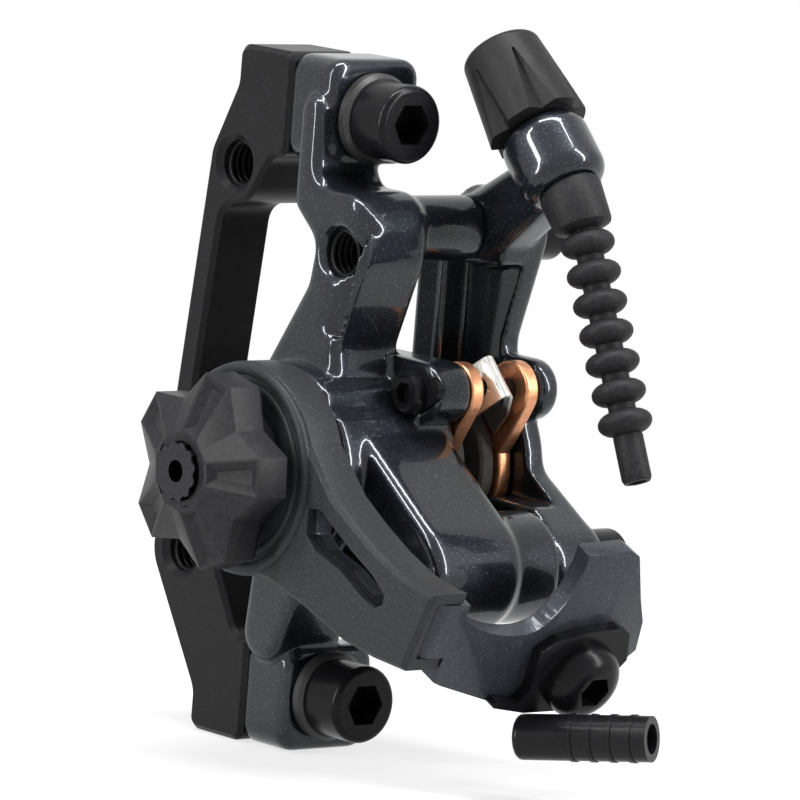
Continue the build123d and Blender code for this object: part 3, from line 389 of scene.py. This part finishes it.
copper = coated("copper", dark=(0.42, 0.15, 0.06), light=(0.85, 0.45, 0.26), rough=(0.25, 0.5),
                metallic=1.0, scale=1500, depth=0.5)
dress(copper, "outer_pad_plate", "inner_pad_plate")
friction = coated("friction", dark=(0.01, 0.008, 0.007), light=(0.05, 0.042, 0.036), rough=(0.7, 0.9),
                  scale=900, depth=0.6, gloss=0.2)
dress(friction, "outer_pad_lining", "inner_pad_lining")
spring_steel = coated("spring_steel", dark=(0.5, 0.49, 0.46), light=(0.78, 0.77, 0.74), rough=(0.22, 0.34),
                      metallic=1.0, scale=1200, depth=0.08)
dress(spring_steel, "return_spring")

strip = merged_copy("pad_spring", "pad_spring_strip")
bpy.ops.object.shade_smooth_by_angle(angle=smooth_angle)
strip.data.materials.append(spring_steel)
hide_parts("pad_spring")
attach(strip, "body")
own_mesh(strip)

# Drive: the ball ramps, balls and thrust washer in the barrel are hardened steel, ground smooth. The
# piston, and the threaded tube that takes the cable's housing, are aluminium with a dark anodised skin.

ground_steel = coated("ground_steel", dark=(0.3, 0.3, 0.3), light=(0.55, 0.55, 0.55), rough=(0.25, 0.35),
                      metallic=1.0, scale=1500, depth=0.05)
dress(ground_steel, "ramp_plate", "ramp_balls", "drive_cam", "thrust_washer")
dark_anodised = coated("dark_anodised", dark=(0.02, 0.02, 0.022), light=(0.06, 0.06, 0.064),
                       rough=(0.28, 0.4), metallic=1.0, scale=1500, depth=0.05)
dress(dark_anodised, "piston", "adjuster_barrel")

# Pad adjuster: a star-shaped knob moulded in black nylon, with five flat-tipped lobes that slope to a
# small crown and are dished on their slopes. It clips over the adjusting screw, whose cap sits in its
# face. The lever's bush is moulded in the same nylon.

# Its few flake spots are painted glints: near-white dots in the colour.
knob_plastic = coated("knob_plastic", dark=(0.005, 0.005, 0.0055), light=(0.02, 0.02, 0.0215),
                      rough=(0.34, 0.48), scale=1500, depth=0.3, gloss=0.13, glint_flakes=0.04)
dress(knob_plastic, "lever_bush")

lobes = 5
first_lobe = math.radians(14.0)
lobe_tip, lobe_half, valley_r = 12.2 * mm, 2.5 * mm, 9.3 * mm
crown_r, crown_half = 4.8 * mm, 1.6 * mm
knob_back_r, cap_seat_r, screw_hole_r = 8.4 * mm, 3.8 * mm, 3.05 * mm
knob_neck, knob_slope, rim_ease = 1.7 * mm, 2.6 * mm, 0.6 * mm
knob_low, knob_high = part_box("adjuster_knob")
knob_back, knob_face = -knob_high[0], -knob_low[0]
rim_back, rim_front = knob_back + knob_neck, knob_face - knob_slope
cap_seat = -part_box("adjuster_cap")[1][0]


def star(tip, half, valley):
    """Corners of the five-lobed star, seen along the axle: two at each flat tip and one in each valley."""
    corners = []
    for lobe in range(lobes):
        turn = first_lobe + 2 * math.pi * lobe / lobes
        middle = turn + math.pi / lobes
        for shift in (-half, half):
            corners.append((math.sin(turn) * tip + math.cos(turn) * shift,
                            math.cos(turn) * tip - math.sin(turn) * shift))
        corners.append((math.sin(middle) * valley, math.cos(middle) * valley))
    return corners


full_star = star(lobe_tip, lobe_half, valley_r)
eased_star = star(lobe_tip - rim_ease, lobe_half, valley_r - rim_ease)
crown = star(crown_r, crown_half, crown_r)


def even_ring(radius):
    """Corners of a round ring that keep the star's own directions."""
    return [(across * radius / math.hypot(across, up), up * radius / math.hypot(across, up))
            for across, up in full_star]


def ring_of(piece, corners, height):
    """Move the newest ring of the knob, which is the selected one, to its corners at a height."""
    mesh = bmesh.from_edit_mesh(piece.data)
    mesh.verts.ensure_lookup_table()
    chosen = [vertex for vertex in mesh.verts if vertex.select]
    for vertex, (across, up) in zip(chosen, corners):
        vertex.co = (across, up, height)
    bmesh.update_edit_mesh(piece.data)


knob_rings = (
    (even_ring(screw_hole_r), knob_back),
    (even_ring(knob_back_r), knob_back),
    (even_ring(knob_back_r), rim_back),
    (eased_star, rim_back),
    (full_star, rim_back + rim_ease),
    (full_star, rim_front),
    (crown, knob_face),
    (even_ring(cap_seat_r), knob_face),
    (even_ring(cap_seat_r), cap_seat),
    (even_ring(screw_hole_r), cap_seat),
)
bpy.ops.object.select_all(action="DESELECT")
bpy.ops.mesh.primitive_circle_add(vertices=len(full_star), radius=knob_back_r, fill_type="NOTHING")
knob = bpy.context.object
bpy.ops.object.mode_set(mode="EDIT")
bpy.ops.mesh.select_all(action="SELECT")
ring_of(knob, *knob_rings[0])
for corners, height in (*knob_rings[1:], knob_rings[0]):
    bpy.ops.mesh.extrude_edges_move()
    ring_of(knob, corners, height)
bpy.ops.mesh.select_all(action="SELECT")
bpy.ops.mesh.remove_doubles(threshold=weld)
bpy.ops.mesh.normals_make_consistent(inside=False)

# A dish on each lobe's slope, and a relief of the same form in the wall and floor of the cap's seat
dish_margin, dish_slope, dish_deep = 0.3 * mm, 1.05 * mm, 0.85 * mm
lobe_slack = 0.05
bpy.ops.mesh.select_mode(type="FACE")
bpy.ops.mesh.select_all(action="DESELECT")
mesh = bmesh.from_edit_mesh(knob.data)
for face in mesh.faces:
    middle = face.calc_center_median()
    around = math.atan2(middle.x, middle.y) - first_lobe
    off_lobe = abs((around + math.pi / lobes) % (2 * math.pi / lobes) - math.pi / lobes)
    face.select_set(rim_front < middle.z < knob_face - dish_margin and off_lobe < lobe_slack)
bmesh.update_edit_mesh(knob.data)
bpy.ops.mesh.inset(use_individual=True, thickness=dish_margin, depth=0)
bpy.ops.mesh.inset(use_individual=True, thickness=dish_slope, depth=-dish_deep)
bpy.ops.object.mode_set(mode="OBJECT")
soften = knob.modifiers.new("soften", "BEVEL")
soften.width = 0.35 * mm
soften.segments = 3
soften.limit_method = "ANGLE"
soften.angle_limit = math.radians(12)
bpy.ops.object.modifier_apply(modifier=soften.name)
bpy.ops.object.shade_smooth_by_angle(angle=math.radians(35))
settle(knob, "adjuster_knob_star", pivot, outward, Vector((0, -1, 0)))
knob.data.materials.append(knob_plastic)
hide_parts("adjuster_knob")
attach(knob, "adjuster")

# Barrel knob and cable sleeve: the knob is pressed on the barrel's head and moulded in a duller nylon,
# and the sleeve that keeps the cable's end from fraying is a smooth, glossier plastic.

matte_nylon = coated("matte_nylon", dark=(0.004, 0.004, 0.004), light=(0.016, 0.016, 0.017),
                     rough=(0.4, 0.52), scale=1300, depth=0.5, gloss=0.12)
dress(matte_nylon, "barrel_knob")
sleeve_plastic = coated("sleeve_plastic", dark=(0.003, 0.003, 0.0035), light=(0.009, 0.009, 0.01),
                        rough=(0.2, 0.32), scale=1500, depth=0.1, gloss=0.14)
dress(sleeve_plastic, "cable_end_sleeve")

# Rubber: seals, the detent ring, and the cable boot, a moulded bellows of rounded ribs that is pushed
# over the tube under the cable stop and bends down to the lever.

# Its few flake spots are painted glints: near-white dots in the colour.
rubber = coated("rubber", dark=(0.004, 0.004, 0.0045), light=(0.018, 0.018, 0.019), rough=(0.45, 0.6),
                scale=1800, depth=0.7, gloss=0.11, glint_flakes=0.05)
dress(rubber, "piston_seal", "dust_seal", "barrel_ring")

stop_tilt = math.radians(44.0)
tail_tilt = math.radians(24.5)
stop_middle = place(15.0 * mm, -28.0 * mm, 34.1 * mm)
stop_up = Vector((0, math.sin(stop_tilt), math.cos(stop_tilt)))
boot_below_stop = 4.75 * mm
boot_top = stop_middle - stop_up * boot_below_stop
boot_bend, boot_long, boot_bore, tail_r = 7.5 * mm, 38.4 * mm, 1.2 * mm, 1.9 * mm
collar_r, collar_foot_r, collar_long = 4.1 * mm, 3.75 * mm, 5.4 * mm
neck_r, rib_r, rib_pitch, first_rib = 1.75 * mm, 3.45 * mm, 3.85 * mm, 7.6 * mm
rib_count = 7
rib_half = rib_pitch / 2 * 0.8
rib_blunt, rib_full = 2.2, 0.75
edge_r = 0.5 * mm
rib_steps, bore_steps, boot_sides = 5, 12, 48


def boot_profile():
    """Outline of the boot from the bore at its top, over collar, ribs and tail, back up the bore."""
    corner = edge_r / 4
    outline = [(boot_bore, 0), (collar_r - edge_r, 0), (collar_r - corner, corner), (collar_r, edge_r),
               (collar_foot_r, collar_long - edge_r), (collar_foot_r - corner, collar_long - corner),
               (collar_foot_r - edge_r, collar_long), (neck_r, collar_long + edge_r)]
    for rib in range(rib_count):
        middle = first_rib + rib_pitch * rib
        for step in range(-rib_steps, rib_steps + 1):
            share = step / rib_steps
            swell = (1 - abs(share) ** rib_blunt) ** rib_full
            outline.append((neck_r + (rib_r - neck_r) * swell, middle + share * rib_half))
    last = middle + rib_half
    outline += [(tail_r, last + edge_r / 2), (tail_r, boot_long - edge_r), (tail_r - edge_r / 2, boot_long)]
    inner = [(boot_bore, boot_long * (1 - step / bore_steps)) for step in range(bore_steps)]
    return [*outline, *inner, outline[0]]


def bend_boot(point):
    """Place of a point of the straight boot once the boot hangs in its bend."""
    turn = stop_tilt - tail_tilt
    bent = min(point.z, boot_bend)
    lean = stop_tilt - turn * bent / boot_bend
    radius = boot_bend / turn
    drop_y = radius * (math.cos(lean) - math.cos(stop_tilt))
    drop_z = radius * (math.sin(stop_tilt) - math.sin(lean))
    down = Vector((0, math.sin(lean), math.cos(lean)))
    square = Vector((0, math.cos(lean), -math.sin(lean)))
    middle = boot_top - Vector((0, drop_y, drop_z)) - down * (point.z - bent)
    return middle + axle * point.x - square * point.y


boot = turned(boot_profile(), boot_sides)
boot.name = "cable_boot_bellows"
for vertex in boot.data.vertices:
    vertex.co = bend_boot(vertex.co)
bpy.ops.object.mode_set(mode="EDIT")
bpy.ops.mesh.select_all(action="SELECT")
bpy.ops.mesh.normals_make_consistent(inside=False)
bpy.ops.object.mode_set(mode="OBJECT")
boot.data.materials.append(rubber)
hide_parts("cable_boot")
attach(boot, "body")
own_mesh(boot)

# Studio: a pale floor that fades into a white surround. Camera, gloss and glass see the surround
# white, and the object is lit by its dim, slightly blue fill and by the lamps.

floor_side = 6
floor_gap = 0.2 * mm
floor_grey = (0.8, 0.8, 0.8, 1)
floor_rough = 0.9
fade_start, fade_end = 0.05, 0.25
fade_least = 0.72
fill_blue = (0.9, 0.93, 1.0, 1)
fill_strength = 0.35
paper_white = (1, 1, 1, 1)


def background_ray(tree):
    """Mask of the rays that see the white surround: from the camera, off gloss and through glass."""
    rays = tree.nodes.new("ShaderNodeLightPath")
    total = rays.outputs["Is Camera Ray"]
    for label in ("Is Glossy Ray", "Is Transmission Ray"):
        either = tree.nodes.new("ShaderNodeMath")
        either.operation = "MAXIMUM"
        tree.links.new(total, either.inputs[0])
        tree.links.new(rays.outputs[label], either.inputs[1])
        total = either.outputs["Value"]
    return total


def floor_paper():
    """Pale paper that keeps the object's shadow near the middle and turns white further out."""
    paper = bpy.data.materials.new("studio_white")
    paper.use_nodes = True
    add, link = paper.node_tree.nodes.new, paper.node_tree.links.new
    shader = paper.node_tree.nodes["Principled BSDF"]
    shader.inputs["Base Color"].default_value = floor_grey
    shader.inputs["Roughness"].default_value = floor_rough
    glow = add("ShaderNodeEmission")
    glow.inputs["Strength"].default_value = 1.0
    where = add("ShaderNodeTexCoord")
    reach = add("ShaderNodeVectorMath")
    reach.operation = "LENGTH"
    fade = add("ShaderNodeMapRange")
    fade.inputs["From Min"].default_value = fade_start
    fade.inputs["From Max"].default_value = fade_end
    fade.inputs["To Min"].default_value = fade_least
    fade.inputs["To Max"].default_value = 1.0
    share = add("ShaderNodeMath")
    share.operation = "MULTIPLY"
    blend = add("ShaderNodeMixShader")
    link(where.outputs["Object"], reach.inputs[0])
    link(reach.outputs["Value"], fade.inputs["Value"])
    link(fade.outputs["Result"], share.inputs[0])
    link(background_ray(paper.node_tree), share.inputs[1])
    link(share.outputs["Value"], blend.inputs["Fac"])
    link(shader.outputs["BSDF"], blend.inputs[1])
    link(glow.outputs["Emission"], blend.inputs[2])
    link(blend.outputs["Shader"], paper.node_tree.nodes["Material Output"].inputs["Surface"])
    return paper


bpy.ops.object.select_all(action="DESELECT")
bpy.ops.mesh.primitive_plane_add(size=floor_side, location=(0, 0, cad_box[0][2] - floor_gap))
floor = bpy.context.object
floor.name = "floor"
floor.data.materials.append(floor_paper())

world = bpy.data.worlds.new("studio")
bpy.context.scene.world = world
world.use_nodes = True
add, link = world.node_tree.nodes.new, world.node_tree.links.new
fill = world.node_tree.nodes["Background"]
fill.inputs["Color"].default_value = fill_blue
fill.inputs["Strength"].default_value = fill_strength
seen = add("ShaderNodeBackground")
seen.inputs["Color"].default_value = paper_white
seen.inputs["Strength"].default_value = 1.0
choose = add("ShaderNodeMixShader")
link(background_ray(world.node_tree), choose.inputs["Fac"])
link(fill.outputs["Background"], choose.inputs[1])
link(seen.outputs["Background"], choose.inputs[2])
link(choose.outputs["Shader"], world.node_tree.nodes["World Output"].inputs["Surface"])

# Camera and lamps: a long lens from the photograph's side, slightly above the caliper and rolled a
# little, and three narrow soft boxes that draw the bright lines along the castings' corners.

azimuth, height, roll = math.radians(-41.0), math.radians(7.5), math.radians(4.6)
aim = place(0, -17 * mm, 0)
distance = 900 * mm
photo_side = 800
pixels_per_mm = 7.95
aim_across_pixels, aim_up_pixels = -15.0, -18.5
sensor_width = 36

# The camera's own axes: back towards the lens, to the picture's right, and up in it
back = Vector((math.sin(azimuth) * math.cos(height), -math.cos(azimuth) * math.cos(height), math.sin(height)))
level = Vector((math.cos(azimuth), math.sin(azimuth), 0))
right = level * math.cos(roll) + back.cross(level) * math.sin(roll)
rise = back.cross(right)
shift = (right * aim_across_pixels + rise * aim_up_pixels) / pixels_per_mm * mm
lens = bpy.data.cameras.new("lens")
lens.sensor_width = sensor_width
lens.lens = pixels_per_mm * distance / mm * sensor_width / photo_side
lens.clip_start = 0.05
lens.clip_end = 20
camera = bpy.data.objects.new("camera", lens)
bpy.context.collection.objects.link(camera)
camera.location = aim - shift + back * distance
camera.rotation_euler = Matrix([[right[row], rise[row], back[row]] for row in range(3)]).to_euler()
bpy.context.scene.camera = camera


def lamp(name, across, up, toward, wide, high, power):
    """Soft box at a place given along the picture's right, up and towards the lens, aimed at the part."""
    light = bpy.data.lights.new(name, "AREA")
    light.shape = "RECTANGLE"
    light.size = wide
    light.size_y = high
    light.energy = power
    box = bpy.data.objects.new(name, light)
    bpy.context.collection.objects.link(box)
    box.location = aim + right * across + rise * up + back * toward
    box.rotation_euler = (box.location - aim).to_track_quat("Z", "Y").to_euler()


lamp("softbox_left", across=-0.5, up=0.2, toward=0.3, wide=0.06, high=0.7, power=5)
lamp("softbox_right", across=0.48, up=0.25, toward=0.2, wide=0.06, high=0.7, power=5)
lamp("softbox_top", across=0.05, up=0.6, toward=0.12, wide=0.5, high=0.1, power=6)

bpy.context.scene.view_settings.view_transform = "Standard"
